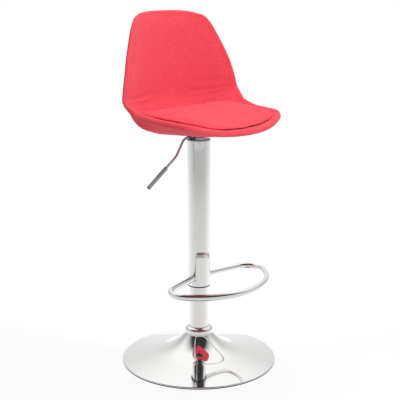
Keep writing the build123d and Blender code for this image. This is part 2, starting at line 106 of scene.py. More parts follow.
@dataclass(frozen=True)
class Finish:
    """A finish: its name, the colour it starts from and its gloss."""

    name: str
    colour: str
    roughness: float
    metallic: float = 0.0

    def material(self) -> bpy.types.Material:
        """Makes the finish's material at its first use.

        Returns:
            The material, which later uses share.
        """
        found = bpy.data.materials.get(self.name)
        if found:
            return found
        made = bpy.data.materials.new(self.name)
        made.use_nodes = True
        tree = made.node_tree
        tree.nodes.clear()
        surface = add(tree, "BsdfPrincipled", {"Metallic": self.metallic})
        surface.inputs["Base Color"].default_value = linear(self.colour)
        surface.inputs["Roughness"].default_value = self.roughness
        add(tree, "OutputMaterial", {"Surface": surface.outputs[0]})
        self.detail(tree, surface)
        return made

    def detail(self, tree: bpy.types.NodeTree, surface: bpy.types.Node) -> None:
        """Adds what the plain shader lacks; each finish has its own.

        Args:
            tree: the material's node tree.
            surface: its Principled shader.
        """
        raise NotImplementedError

    def spots(self, tree: bpy.types.NodeTree, size_mm: float, detail: float = 2.0) -> bpy.types.NodeSocket:
        """Adds a noise with blotches of a real size.

        Args:
            tree: the node tree to add to.
            size_mm: the blotches' size in millimetres.
            detail: how many finer octaves it has.

        Returns:
            The noise's value, from 0 to 1.
        """
        place = add(tree, "TexCoord").outputs["Object"]
        inputs = {"Vector": place, "Scale": 1.0 / (size_mm * MM), "Detail": detail}
        return add(tree, "TexNoise", inputs).outputs[0]

    def spread(self, tree: bpy.types.NodeTree, value: bpy.types.NodeSocket, low: float,
               high: float) -> bpy.types.NodeSocket:
        """Maps a noise's middle range to values.

        Args:
            tree: the node tree to add to.
            value: the noise.
            low: the value at its low end.
            high: the value at its high end.

        Returns:
            The mapped value.
        """
        inputs = {"Value": value, "From Min": 0.3, "From Max": 0.7, "To Min": low, "To Max": high}
        return add(tree, "MapRange", inputs).outputs[0]


@dataclass(frozen=True)
class ChromePlate(Finish):
    """Nickel and chrome plate on polished tube and pressed sheet: a mirror with a little buffing haze."""

    metallic: float = 1.0
    haze_mm: float = 45.0
    wave_mm: float = 70.0
    wave_depth_mm: float = 0.4
    wave_share: float = 0.12

    def detail(self, tree: bpy.types.NodeTree, surface: bpy.types.Node) -> None:
        """Hazes the gloss in soft patches and lets the sheet wander a little.

        Args:
            tree: the material's node tree.
            surface: its Principled shader.
        """
        haze = self.spread(tree, self.spots(tree, self.haze_mm, 4.0), self.roughness * 0.7, self.roughness * 1.6)
        tree.links.new(haze, surface.inputs["Roughness"])
        inputs = {"Height": self.spots(tree, self.wave_mm), "Strength": self.wave_share,
                  "Distance": self.wave_depth_mm * MM}
        wave = add(tree, "Bump", inputs)
        tree.links.new(wave.outputs[0], surface.inputs["Normal"])


@dataclass(frozen=True)
class BareSteel(Finish):
    """Machined or zinc-plated steel: grey, with short tool marks that scatter the gloss."""

    metallic: float = 1.0
    mark_mm: float = 1.5
    mark_depth_mm: float = 0.05
    mark_share: float = 0.2

    def detail(self, tree: bpy.types.NodeTree, surface: bpy.types.Node) -> None:
        """Varies gloss and height with the tool marks.

        Args:
            tree: the material's node tree.
            surface: its Principled shader.
        """
        marks = self.spots(tree, self.mark_mm, 3.0)
        gloss = self.spread(tree, marks, self.roughness * 0.8, self.roughness * 1.3)
        tree.links.new(gloss, surface.inputs["Roughness"])
        inputs = {"Height": marks, "Strength": self.mark_share, "Distance": self.mark_depth_mm * MM}
        bump = add(tree, "Bump", inputs)
        tree.links.new(bump.outputs[0], surface.inputs["Normal"])


@dataclass(frozen=True)
class SatinPaint(Finish):
    """Stoved paint or lacquer on steel: satin, with the slight orange peel that spraying leaves."""

    peel_mm: float = 2.2
    peel_depth_mm: float = 0.08
    peel_share: float = 0.3
    dust_mm: float = 18.0

    def detail(self, tree: bpy.types.NodeTree, surface: bpy.types.Node) -> None:
        """Adds orange peel and a little dust in the gloss.

        Args:
            tree: the material's node tree.
            surface: its Principled shader.
        """
        peel = self.spots(tree, self.peel_mm)
        dust = self.spread(tree, self.spots(tree, self.dust_mm, 5.0), self.roughness * 0.8, self.roughness * 1.3)
        tree.links.new(dust, surface.inputs["Roughness"])
        inputs = {"Height": peel, "Strength": self.peel_share, "Distance": self.peel_depth_mm * MM}
        bump = add(tree, "Bump", inputs)
        tree.links.new(bump.outputs[0], surface.inputs["Normal"])


@dataclass(frozen=True)
class MouldedPlastic(Finish):
    """Injection-moulded plastic or rubber: the fine spark grain of its mould breaks up the gloss."""

    grain_mm: float = 0.9
    grain_depth_mm: float = 0.06
    grain_share: float = 0.35
    index: float = 1.5

    def detail(self, tree: bpy.types.NodeTree, surface: bpy.types.Node) -> None:
        """Adds the mould's grain, which also varies the gloss.

        Args:
            tree: the material's node tree.
            surface: its Principled shader.
        """
        grain = self.spots(tree, self.grain_mm, 3.0)
        gloss = self.spread(tree, grain, self.roughness * 0.85, self.roughness * 1.2)
        tree.links.new(gloss, surface.inputs["Roughness"])
        inputs = {"Height": grain, "Strength": self.grain_share, "Distance": self.grain_depth_mm * MM}
        bump = add(tree, "Bump", inputs)
        tree.links.new(bump.outputs[0], surface.inputs["Normal"])
        surface.inputs["IOR"].default_value = self.index


@dataclass(frozen=True)
class WovenFabric(Finish):
    """Plain-woven polyester with a linen look: matt threads, slubs along both directions, a soft sheen, and painted
    shade in the dips between the threads.
    """

    slub: str = "FF7A82"
    # The colour painted into the dips between the threads as shade
    shade: str = "A8152A"
    sheen: str = "FFB4B4"
    # The cloth's own threads are 0.6 mm apart; they are drawn coarser, so that they show in a render.
    thread_mm: float = 1.3
    thread_depth_mm: float = 0.25
    thread_share: float = 0.35
    slub_mm: float = 26.0
    slub_stretch: float = 15.0
    slub_most: float = 0.26
    # How far the dips between the threads are darkened with painted shade
    painted_shade_most: float = 0.34
    # The width of a Wave texture's band at a scale of one
    wave_band: float = 2 * math.pi / 20

    def detail(self, tree: bpy.types.NodeTree, surface: bpy.types.Node) -> None:
        """Weaves the threads over the cloth's flat pattern, tints the slubs and paints shade into the dips between
        the threads.

        Args:
            tree: the material's node tree.
            surface: its Principled shader.
        """
        flat = add(tree, "UVMap", uv_map="weave").outputs[0]
        pitch = self.thread_mm * MM
        bands = {"Vector": flat, "Scale": self.wave_band / pitch, "Distortion": 0.6, "Detail": 1.0}
        warp = add(tree, "TexWave", bands, wave_type="BANDS", bands_direction="X").outputs[1]
        weft = add(tree, "TexWave", bands, wave_type="BANDS", bands_direction="Y").outputs[1]
        over = add(tree, "TexChecker", {"Vector": flat, "Scale": 1.0 / pitch}).outputs[1]
        weave = add(tree, "Mix", {0: over, 2: warp, 3: weft}).outputs[0]
        tint = None
        for stretch in ((1.0, self.slub_stretch, 1.0), (self.slub_stretch, 1.0, 1.0)):
            place = add(tree, "Mapping", {"Vector": flat, "Scale": stretch}).outputs[0]
            inputs = {"Vector": place, "Scale": 1.0 / (self.slub_mm * MM), "Detail": 3.0}
            streak = add(tree, "TexNoise", inputs).outputs[0]
            streak = self.spread(tree, streak, 0.0, self.slub_most)
            under = surface.inputs["Base Color"].default_value[:] if tint is None else tint
            tint = add(tree, "Mix", {0: streak, 6: under, 7: linear(self.slub)}, data_type="RGBA").outputs[2]
        # Painted shade: the low parts of the weave are darkened towards the shade colour
        painted_dip_shade = self.spread(tree, weave, self.painted_shade_most, 0.0)
        tint = add(tree, "Mix", {0: painted_dip_shade, 6: tint, 7: linear(self.shade)}, data_type="RGBA").outputs[2]
        tree.links.new(tint, surface.inputs["Base Color"])
        inputs = {"Height": weave, "Strength": self.thread_share, "Distance": self.thread_depth_mm * MM}
        bump = add(tree, "Bump", inputs)
        tree.links.new(bump.outputs[0], surface.inputs["Normal"])
        surface.inputs["Specular IOR Level"].default_value = 0.25
        surface.inputs["Sheen Weight"].default_value = 0.35
        surface.inputs["Sheen Roughness"].default_value = 0.45
        surface.inputs["Sheen Tint"].default_value = linear(self.sheen)


CHROME = ChromePlate("polished_chrome_plate", "EFEEED", 0.055)
STEEL = BareSteel("zinc_plated_steel", "B4B6B8", 0.34)
PAINT = SatinPaint("black_stoved_paint", "1C1C1E", 0.38)
BLACK_PLASTIC = MouldedPlastic("black_polypropylene", "161617", 0.5)
GREY_PLASTIC = MouldedPlastic("grey_nylon", "858684", 0.5, grain_depth_mm=0.02)
RUBBER = MouldedPlastic("black_rubber", "121212", 0.75, grain_mm=1.4)
LEVER_PAINT = SatinPaint("grey_lacquered_steel", "B4B5B6", 0.6)
PALE_PLASTIC = MouldedPlastic("pale_grey_nylon", "C4C5C7", 0.35)
BRASS = BareSteel("machined_brass", "C9A45C", 0.3)
SHELL_PLASTIC = MouldedPlastic("grey_polypropylene_shell", "3A3B3D", 0.55)
FABRIC = WovenFabric("red_woven_polyester", "E83B4C", 0.88)


def make_piece(name: str, bm: bmesh.types.BMesh, finish: Finish, body: Body, replaces: tuple[str, ...] = (),
               crease: float = 32.0) -> bpy.types.Object:
    """Turns a finished bmesh into a piece that rides on a body.

    Args:
        name: the piece's name.
        bm: its mesh, in place; it is freed.
        finish: what it is covered with.
        body: the CAD body that it moves with.
        replaces: the CAD nodes that it stands for.
        crease: the angle in degrees past which an edge stays sharp.

    Returns:
        The new object.
    """
    mesh = bpy.data.meshes.new(name)
    bm.to_mesh(mesh)
    bm.free()
    mesh.polygons.foreach_set("use_smooth", [True] * len(mesh.polygons))
    mesh.set_sharp_from_angle(angle=math.radians(crease))
    mesh.materials.append(finish.material())
    piece = bpy.data.objects.new(name, mesh)
    bpy.context.scene.collection.objects.link(piece)
    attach(piece, body.value)
    if replaces:
        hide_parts(*replaces)
    LOG.info("%s: %d faces", name, len(mesh.polygons))
    return piece


@dataclass(frozen=True)
class Corner:
    """A corner of a turned outline: its radius, height and the length that its rounding takes off each side."""

    radius: float
    height: float
    rounding: float = 0.0
    segments: int = 4


def outline_wire(corners: list[Corner], closed: bool) -> bmesh.types.BMesh:
    """Lays a turned piece's half outline in the XZ plane and rounds its corners.

    Args:
        corners: the outline's corners, in order.
        closed: whether its last corner joins its first.

    Returns:
        A bmesh of wire edges.
    """
    bm = bmesh.new()
    verts = [bm.verts.new((c.radius * MM, 0.0, c.height * MM)) for c in corners]
    for first, second in zip(verts, verts[1:] + (verts[:1] if closed else [])):
        bm.edges.new((first, second))
    for vert, corner in zip(verts, corners):
        if corner.rounding:
            bmesh.ops.bevel(bm, geom=[vert], offset=corner.rounding * MM, offset_type="OFFSET", profile=0.5,
                            segments=corner.segments, affect="VERTICES", material=-1)
    return bm


def turned(corners: list[Corner], steps: int = 160, sheet: float = 0.0) -> bmesh.types.BMesh:
    """Turns a half outline about the column.

    Args:
        corners: the outline's corners in millimetres.
        steps: how many faces go round.
        sheet: wall thickness in millimetres for an open outline, 0 for a closed one.

    Returns:
        The turned bmesh.
    """
    bm = outline_wire(corners, closed=not sheet)
    geometry = bm.verts[:] + bm.edges[:]
    bmesh.ops.spin(bm, geom=geometry, cent=(0, 0, 0), axis=(0, 0, 1), angle=2 * math.pi, steps=steps,
                   use_merge=True)
    bmesh.ops.remove_doubles(bm, verts=bm.verts, dist=MERGE)
    bmesh.ops.recalc_face_normals(bm, faces=bm.faces)
    if sheet:
        bmesh.ops.solidify(bm, geom=bm.faces[:], thickness=sheet * MM)
    return bm


def chain(bm: bmesh.types.BMesh) -> list[Vector]:
    """Walks along a wire.

    Args:
        bm: a wire with two ends.

    Returns:
        Its points from one end to the other.
    """
    at = next(v for v in bm.verts if len(v.link_edges) == 1)
    walked, last = [at.co.copy()], None
    while True:
        onward = [e.other_vert(at) for e in at.link_edges if e.other_vert(at) is not last]
        if not onward:
            return walked
        last, at = at, onward[0]
        walked.append(at.co.copy())


def tube(path: list[Vector], radius: float) -> bmesh.types.BMesh:
    """Draws a round bar along a path.

    Args:
        path: the bar's centre line.
        radius: the bar's radius in metres.

    Returns:
        The bar's bmesh, with closed ends.
    """
    curve = bpy.data.curves.new("bar", "CURVE")
    curve.dimensions = "3D"
    curve.bevel_depth = radius
    curve.bevel_resolution = 8
    curve.use_fill_caps = True
    spline = curve.splines.new("POLY")
    spline.points.add(len(path) - 1)
    for point, place in zip(spline.points, path):
        point.co = (*place, 1.0)
    carrier = bpy.data.objects.new("bar", curve)
    mesh = bpy.data.meshes.new_from_object(carrier)
    bm = bmesh.new()
    bm.from_mesh(mesh)
    bpy.data.objects.remove(carrier)
    bpy.data.curves.remove(curve)
    bpy.data.meshes.remove(mesh)
    bmesh.ops.remove_doubles(bm, verts=bm.verts, dist=MERGE)
    bmesh.ops.recalc_face_normals(bm, faces=bm.faces)
    return bm


def dress(node: str, finish: Finish, edge: float = 0.0) -> None:
    """Gives a CAD node its finish, and rounds its edges where it shows.

    Args:
        node: the CAD node's name.
        finish: what it is covered with.
        edge: the rounding of its edges in millimetres, 0 for a hidden piece.
    """
    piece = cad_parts[node]
    piece.data.materials.clear()
    piece.data.materials.append(finish.material())
    if edge:
        weld = piece.modifiers.new("weld", "WELD")
        weld.merge_threshold = WELD_MM * MM
        bevel = piece.modifiers.new("edges", "BEVEL")
        bevel.width = edge * MM
        bevel.segments = 2
        bevel.limit_method = "ANGLE"
        bevel.angle_limit = EDGE_ANGLE
        bevel.harden_normals = True
    LOG.info("%s: dressed in %s", node, finish.name)


@dataclass
class Foot:
    """The trumpet foot: pressed dish, floor ring, collar and the stand tube that rises from it."""

    rim_radius: float = 200.0
    rim_top: float = 5.5
    rim_round: float = 2.0
    sheet: float = 1.8
    neck_radius: float = 34.0
    neck_top: float = 76.0
    neck_slope: float = 56.0
    dish_slope: float = 11.5
    flare_steps: int = 28
    flare_spare: float = 0.01
    ring_height: float = 3.0
    ring_width: float = 10.0
    ring_inset: float = 0.2
    collar_top: float = 92.0
    collar_radius: float = 37.1
    collar_shoulder: float = 28.0
    collar_fall: float = 4.5
    collar_round: float = 6.0
    collar_wall: float = 2.0
    collar_lap: float = 3.0
    stand_radius: float = 25.0
    stand_wall: float = 1.5
    stand_foot: float = 10.0
    stand_top: float = 520.0
    taper_top: float = 74.0
    taper: float = 1.0
    slip: float = 0.1
    around: int = 256

    def flare(self) -> Corner:
        """Works out the flare between neck and dish.

        Returns:
            The corner where neck and dish would meet, with the length that the flare takes off each.
        """
        neck = math.tan(math.radians(self.neck_slope))
        fall = math.tan(math.radians(self.dish_slope))
        height_gap = self.neck_top - self.rim_top
        run = (height_gap - (self.rim_radius - self.neck_radius) * fall) / (neck - fall)
        height = self.neck_top - run * neck
        rounding = math.hypot(run, run * neck) - self.flare_spare
        return Corner(self.neck_radius + run, height, rounding, self.flare_steps)

    def build(self) -> None:
        """Turns the foot's visible pieces and dresses those inside it."""
        dish = [
            Corner(self.neck_radius, self.neck_top), self.flare(),
            Corner(self.rim_radius, self.rim_top, self.rim_round, 8),
            Corner(self.rim_radius, self.ring_height + self.slip),
        ]
        make_piece("trumpet_dish", turned(dish, self.around, self.sheet), CHROME, Body.BASE, ("base_dish",))
        outer, inner = self.rim_radius - self.ring_inset, self.rim_radius - self.ring_width
        ring = [
            Corner(inner, 0.0), Corner(outer, 0.0, 1.0), Corner(outer, self.ring_height),
            Corner(inner, self.ring_height),
        ]
        make_piece("floor_ring_trim", turned(ring, self.around), BLACK_PLASTIC, Body.BASE, ("floor_ring",))
        bore, low = self.stand_radius + self.slip, self.neck_top - self.collar_lap
        under, inside = self.neck_top + 2 * self.slip, self.collar_radius - self.collar_wall
        collar = [
            Corner(bore, self.collar_top, 0.6), Corner(self.collar_shoulder, self.collar_top, 1.6),
            Corner(self.collar_radius, self.collar_top - self.collar_fall, self.collar_round, 10),
            Corner(self.collar_radius, low, 0.6), Corner(inside, low), Corner(inside, under), Corner(bore, under),
        ]
        make_piece("foot_collar", turned(collar, 128), CHROME, Body.BASE, ("base_collar",))
        inner = self.stand_radius - self.stand_wall
        stand = [
            Corner(inner, self.stand_foot), Corner(self.stand_radius - self.taper, self.stand_foot),
            Corner(self.stand_radius, self.taper_top), Corner(self.stand_radius, self.stand_top, 0.4),
            Corner(inner, self.stand_top, 0.4), Corner(inner, self.taper_top),
        ]
        make_piece("stand_column", turned(stand, 128), CHROME, Body.BASE, ("stand_tube",))
        for node, finish in (("base_socket", STEEL), ("base_ribs", STEEL), ("lower_race", STEEL),
                             ("guide_bush", BLACK_PLASTIC)):
            dress(node, finish)


@dataclass
class Column:
    """The cover tube that rises with the seat, its bushes, and the gas spring inside it."""

    radius: float = 29.0
    wall: float = 1.5
    bottom: float = 205.0
    top: float = 583.0
    lip_height: float = 3.0
    lip_rise: float = 20.0
    slip: float = 0.1
    stand_radius: float = 25.3

    def build(self) -> None:
        """Turns the tube and its lip, and dresses the pieces inside."""
        inner = self.radius - self.wall
        body = [
            Corner(inner, self.bottom, 0.3), Corner(self.radius, self.bottom, 0.5),
            Corner(self.radius, self.top, 0.6), Corner(inner, self.top, 0.3),
        ]
        make_piece("cover_column", turned(body, 160), CHROME, Body.SEAT, ("cover_tube",))
        low, high, plug = self.bottom - self.lip_height, self.bottom + self.lip_rise, inner - self.slip
        lip = [
            Corner(self.stand_radius, low, 0.5), Corner(self.radius, low, 0.9), Corner(self.radius, self.bottom),
            Corner(plug, self.bottom), Corner(plug, high), Corner(self.stand_radius, high),
        ]
        make_piece("lip_bush", turned(lip, 128), BLACK_PLASTIC, Body.SEAT, ("cover_lip_bush",))
        for node, finish in (
            ("cover_top_bush", PALE_PLASTIC), ("gas_cylinder", PAINT), ("rod_gland", RUBBER), ("piston_rod", STEEL),
            ("piston", STEEL), ("piston_ring", RUBBER), ("bumper", RUBBER), ("retaining_clip", STEEL),
            ("upper_race", STEEL), ("bearing_balls", STEEL), ("ball_cage", BLACK_PLASTIC), ("release_pin", STEEL),
        ):
            dress(node, finish)


@dataclass
class Footrest:
    """The bent footrest loop and the weld beads that hold it to the cover tube."""

    height: float = 228.0
    tube_radius: float = 8.0
    half_width: float = 158.0
    reach: float = 174.0
    corner_radius: float = 42.0
    front_radius: float = 178.0
    column_radius: float = 29.0
    bend_step: float = 3.0
    # The weld bead's foot and crown along the arm, and how far they stand off the tube
    bead_foot: tuple = (-2.0, 2.2)
    bead_crown: tuple = (2.4, 0.3)
    bead_root: float = 1.0
    bead_place: float = 0.6

    def half_path(self) -> tuple[list[Vector], float]:
        """Bends one half of the loop, from the column to the middle of its front.

        Returns:
            The half's centre line, and the angle of its arm about the column.
        """
        bow_y = self.front_radius - self.reach
        corner_x = self.half_width - self.corner_radius
        corner_y = bow_y - math.sqrt((self.front_radius - self.corner_radius) ** 2 - corner_x ** 2)
        arm = math.atan2(corner_y, corner_x) + math.asin(self.corner_radius / math.hypot(corner_x, corner_y))
        bow_angle = math.atan2(corner_y - bow_y, corner_x)
        away = math.hypot(corner_x, corner_y) * math.cos(arm - math.atan2(corner_y, corner_x))
        bm = bmesh.new()
        level = self.height * MM
        direction = Vector((math.cos(arm), math.sin(arm), 0.0))
        root = bm.verts.new(direction * (self.column_radius - self.bead_root) * MM + Vector((0, 0, level)))
        end = bm.verts.new(direction * away * MM + Vector((0, 0, level)))
        bm.edges.new((root, end))
        turns = (
            ((corner_x * MM, corner_y * MM, level), bow_angle - (arm + math.pi / 2)),
            ((0.0, bow_y * MM, level), -math.pi / 2 - bow_angle),
        )
        for centre, angle in turns:
            steps = max(2, round(abs(math.degrees(angle)) / self.bend_step))
            spun = bmesh.ops.spin(bm, geom=[end], cent=centre, axis=(0, 0, 1), angle=angle, steps=steps)
            end = next(v for v in spun["geom_last"] if isinstance(v, bmesh.types.BMVert))
        points = chain(bm)
        bm.free()
        if points[0].length > points[-1].length:
            points.reverse()
        return points, arm

    def build(self) -> None:
        """Bends the loop and lays the beads where its arms meet the column."""
        half, arm = self.half_path()
        other = [Vector((-p.x, p.y, p.z)) for p in reversed(half[:-1])]
        loop = tube(half + other, self.tube_radius * MM)
        make_piece("footrest_tube", loop, CHROME, Body.SEAT, ("footrest_loop",))
        root = self.tube_radius - self.bead_root
        (foot, foot_off), (crown, crown_off) = self.bead_foot, self.bead_crown
        for side, label in ((1, "left"), (-1, "right")):
            bead = turned([
                Corner(root, foot), Corner(self.tube_radius + foot_off, foot, 1.6),
                Corner(self.tube_radius + crown_off, crown, 0.8), Corner(root, crown),
            ], 48)
            outward = Vector((side * math.cos(arm), math.sin(arm), 0.0))
            place = outward * (self.column_radius + self.bead_place) * MM + Vector((0, 0, self.height * MM))
            turn = outward.to_track_quat("Z", "Y").to_matrix().to_4x4()
            bmesh.ops.transform(bead, matrix=Matrix.Translation(place) @ turn, verts=bead.verts)
            make_piece(f"weld_bead_{label}", bead, CHROME, Body.SEAT)


@dataclass
class ReleaseLever:
    """The bent release lever with its sleeve, and the fittings under the seat that carry it."""

    rod_radius: float = 3.0
    height: float = 593.0
    pivot_x: float = -31.0
    tip_x: float = 3.0
    knee_x: float = -54.0
    drop: tuple[float, float] = (-83.0, 552.0)
    end: tuple[float, float] = (-179.0, 490.0)
    bend: float = 9.0
    drop_share: float = 0.8
    eye_radius: float = 5.0
    eye_edge: float = 0.6
    grip_radius: float = 4.9
    grip_length: float = 72.0
    grip_past: float = 2.0

    def rod(self) -> bmesh.types.BMesh:
        """Bends the rod through its knee and drop, and adds the eye at its pivot.

        Returns:
            The rod's bmesh, in place.
        """
        corners = [
            Corner(self.tip_x, self.height), Corner(self.knee_x, self.height, self.bend, 10),
            Corner(*self.drop, self.bend * self.drop_share, 8), Corner(*self.end),
        ]
        wire = outline_wire(corners, closed=False)
        bm = tube(chain(wire), self.rod_radius * MM)
        wire.free()
        turn = Matrix.Translation((self.pivot_x * MM, 0, self.height * MM)) @ Matrix.Rotation(math.pi / 2, 4, "X")
        eye = bmesh.ops.create_cone(bm, cap_ends=True, segments=40, radius1=self.eye_radius * MM,
                                    radius2=self.eye_radius * MM, depth=2 * self.rod_radius * MM, matrix=turn)
        rims = {e for v in eye["verts"] for e in v.link_edges if len(e.link_faces) == 2 and e.calc_face_angle() > 1}
        bmesh.ops.bevel(bm, geom=list(rims), offset=self.eye_edge * MM, offset_type="OFFSET", segments=3,
                        profile=0.5, affect="EDGES", material=-1)
        return bm

    def grip(self) -> bmesh.types.BMesh:
        """Turns the sleeve and lays it along the lever's outer end.

        Returns:
            The sleeve's bmesh, in place.
        """
        bm = turned([
            Corner(0.0, self.grip_past), Corner(self.grip_radius, self.grip_past, 2.2, 6),
            Corner(self.grip_radius, -self.grip_length, 1.2), Corner(self.rod_radius, -self.grip_length),
        ], 64)
        start = Vector((self.drop[0], 0, self.drop[1]))
        end = Vector((self.end[0], 0, self.end[1]))
        turn = (end - start).to_track_quat("Z", "Y").to_matrix().to_4x4()
        bmesh.ops.transform(bm, matrix=Matrix.Translation(end * MM) @ turn, verts=bm.verts)
        return bm

    def build(self) -> None:
        """Makes the lever and dresses the fittings round it."""
        make_piece("lever_bar", self.rod(), LEVER_PAINT, Body.LEVER, ("lever_rod",))
        make_piece("lever_sleeve", self.grip(), GREY_PLASTIC, Body.LEVER, ("lever_grip",))
        for node, finish, edge in (
            ("seat_plate", PAINT, 0.5), ("seat_hub", STEEL, 0.6), ("lever_bracket", PAINT, 0.4),
            ("lever_pivot", STEEL, 0.0), ("seat_screws", STEEL, 0.0), ("screw_washers", STEEL, 0.2),
            ("threaded_inserts", BRASS, 0.0),
        ):
            dress(node, finish, edge)


class Smooth:
    """A smooth curve through a table of values."""

    def __init__(self, places: list[float], values: list[float]) -> None:
        """Keeps the table and works out its slopes.

        Args:
            places: the table's places, rising.
            values: the value at each place.
        """
        self.places, self.values = places, values
        self.slopes = []
        last = len(places) - 1
        for k in range(len(places)):
            low, high = max(0, k - 1), min(last, k + 1)
            self.slopes.append((values[high] - values[low]) / (places[high] - places[low]))

    def at(self, place: float) -> float:
        """Reads the curve.

        Args:
            place: where to read it.

        Returns:
            The curve's value there, held past its ends.
        """
        place = min(max(place, self.places[0]), self.places[-1])
        k = next(i for i in range(1, len(self.places)) if place <= self.places[i])
        span = self.places[k] - self.places[k - 1]
        t = (place - self.places[k - 1]) / span
        ends = self.values[k - 1] * (1 + 2 * t) * (1 - t) ** 2 + self.values[k] * t * t * (3 - 2 * t)
        return ends + span * (self.slopes[k - 1] * t * (1 - t) ** 2 - self.slopes[k] * t * t * (1 - t))


class Outline:
    """A closed outline on the bucket's flat pattern, the same on both sides, about a point on its middle line."""

    def __init__(self, side: list[tuple[float, float]], centre: float) -> None:
        """Turns the outline's points into reaches by angle.

        Args:
            side: points (across, run) of one side, from the front's middle to the top's middle.
            centre: the run of the point that angles are taken about.
        """
        self.centre = centre
        polar = [(math.atan2(across, run - centre), math.hypot(across, run - centre)) for across, run in side]
        half = sorted(polar)
        mirrored = [(-angle, reach) for angle, reach in reversed(half) if 0 < angle < math.pi]
        whole = mirrored + half
        before = [(angle - 2 * math.pi, reach) for angle, reach in whole[-4:-1]]
        after = [(angle + 2 * math.pi, reach) for angle, reach in whole[:4] if angle + 2 * math.pi > whole[-1][0]]
        table = [row for row in before if row[0] < whole[0][0]] + whole + after
        self.curve = Smooth([row[0] for row in table], [row[1] for row in table])

    def reach(self, angle: float) -> float:
        """Returns the outline's distance from its centre at an angle from the middle line."""
        return self.curve.at(angle)


def ease(value: float) -> float:
    """Returns a smooth step of a value between 0 and 1."""
    value = min(max(value, 0.0), 1.0)
    return value * value * (3 - 2 * value)


@dataclass
class BucketForm:
    """The shell's middle surface: a centre line from front to top, and sections with round sides across it."""

    front: tuple[float, float] = (-0.169, 0.621)
    low: tuple[float, float] = (0.0145, 0.6125)
    bend_radius: float = 0.095
    top: float = 0.895
    lean: float = math.radians(6.0)
    hip: float = 0.204
    wrap: float = 0.063
    # For seat, bend and back: share of the stretch, half width and wrap as shares of the hips', and flat share
    seat_rows: tuple = (
        (0.0, 0.29, 0.038, 0.0), (0.03, 0.425, 0.085, 0.1), (0.093, 0.58, 0.17, 0.25), (0.18, 0.71, 0.275, 0.38),
        (0.305, 0.815, 0.395, 0.44), (0.496, 0.843, 0.46, 0.46), (0.714, 0.868, 0.53, 0.46),
        (0.921, 0.915, 0.675, 0.46),
    )
    bend_rows: tuple = (
        (0.1, 0.957, 0.82, 0.46), (0.25, 0.970, 0.877, 0.4), (0.4, 0.983, 0.893, 0.3), (0.57, 0.996, 0.898, 0.17),
        (0.77, 0.997, 0.9, 0.06),
    )
    back_rows: tuple = (
        (0.0, 0.985, 0.9, 0.0), (0.28, 0.908, 0.873, 0.0), (0.57, 0.79, 0.745, 0.0), (0.78, 0.686, 0.63, 0.0),
        (0.88, 0.602, 0.53, 0.0), (0.945, 0.43, 0.262, 0.0), (1.0, 0.28, 0.11, 0.0),
    )
    runs: list[float] = field(default_factory=list)
    edges: list[float] = field(default_factory=list)

    def __post_init__(self) -> None:
        """Works out the stretches' lengths and the sections' curves along them."""
        fall = self.front[1] - self.low[1]
        self.tilt = math.atan2(fall, self.low[0] - self.front[0])
        self.rise = math.pi / 2 - self.lean
        self.seat_length = math.hypot(fall, self.low[0] - self.front[0])
        self.bend_length = self.bend_radius * (self.rise + self.tilt)
        self.back_start = self.on_bend(self.rise)
        self.back_length = (self.top - self.back_start[1]) / math.sin(self.rise)
        bows, flats = [], []
        stretches = (
            (0.0, self.seat_length, self.seat_rows), (self.seat_length, self.bend_length, self.bend_rows),
            (self.seat_length + self.bend_length, self.back_length, self.back_rows),
        )
        for start, length, rows in stretches:
            for share, width_share, wrap_share, flat_share in rows:
                width, wrap = self.hip * width_share, self.wrap * wrap_share
                side = width * (1 - flat_share)
                radius = (side ** 2 + wrap ** 2) / (2 * wrap)
                self.runs.append(start + length * share)
                self.edges.append(width - side + radius * 2 * math.atan2(wrap, side))
                bows.append(1 / radius)
                flats.append(width - side)
        self.bow = Smooth(self.runs, bows)
        self.flat = Smooth(self.runs, flats)
        self.edge = Smooth(self.runs, self.edges)
        self.length = self.runs[-1]

    def on_bend(self, heading: float) -> tuple[float, float]:
        """Finds the point on the bend where the centre line has a heading.

        Args:
            heading: the centre line's angle above level, in radians.

        Returns:
            The point's y and z.
        """
        y = self.low[0] + self.bend_radius * (math.sin(self.tilt) + math.sin(heading))
        return y, self.low[1] + self.bend_radius * (math.cos(self.tilt) - math.cos(heading))

    def centre(self, run: float) -> tuple[float, float, float]:
        """Follows the centre line.

        Args:
            run: distance along it from its front.

        Returns:
            The point's y and z, and the heading there.
        """
        if run <= self.seat_length:
            return (self.front[0] + run * math.cos(self.tilt), self.front[1] - run * math.sin(self.tilt),
                    -self.tilt)
        if run <= self.seat_length + self.bend_length:
            heading = -self.tilt + (run - self.seat_length) / self.bend_radius
            return *self.on_bend(heading), heading
        up = run - self.seat_length - self.bend_length
        return (self.back_start[0] + up * math.cos(self.rise), self.back_start[1] + up * math.sin(self.rise),
                self.rise)

    def point(self, across: float, run: float, lift: float) -> Vector:
        """Finds a point of the upholstery.

        Args:
            across: distance along the section from its middle.
            run: distance along the centre line from its front.
            lift: distance off the middle surface, towards the sitter.

        Returns:
            The point in the row frame.
        """
        y, z, heading = self.centre(run)
        radius, flat = 1 / self.bow.at(run), self.flat.at(run)
        angle = max(0.0, abs(across) - flat) / radius
        x = min(abs(across), flat) + (radius - lift) * math.sin(angle)
        up = radius - (radius - lift) * math.cos(angle)
        return Vector((math.copysign(x, across), y - up * math.sin(heading), z + up * math.cos(heading)))


def draw_form(bm: bmesh.types.BMesh, rule: Callable[[Vector], tuple[Vector, tuple[float, float]]]) -> None:
    """Moves a ball's points onto a form and writes the cloth's flat pattern to a UV map.

    Args:
        bm: a ball about the origin.
        rule: gives the place and the flat pattern's (across, run) for a ball's direction.
    """
    flat = {}
    for vert in bm.verts:
        vert.co, flat[vert] = rule(vert.co.normalized())
    layer = bm.loops.layers.uv.new("weave")
    for face in bm.faces:
        for loop in face.loops:
            loop[layer].uv = flat[loop.vert]
    bmesh.ops.recalc_face_normals(bm, faces=bm.faces)


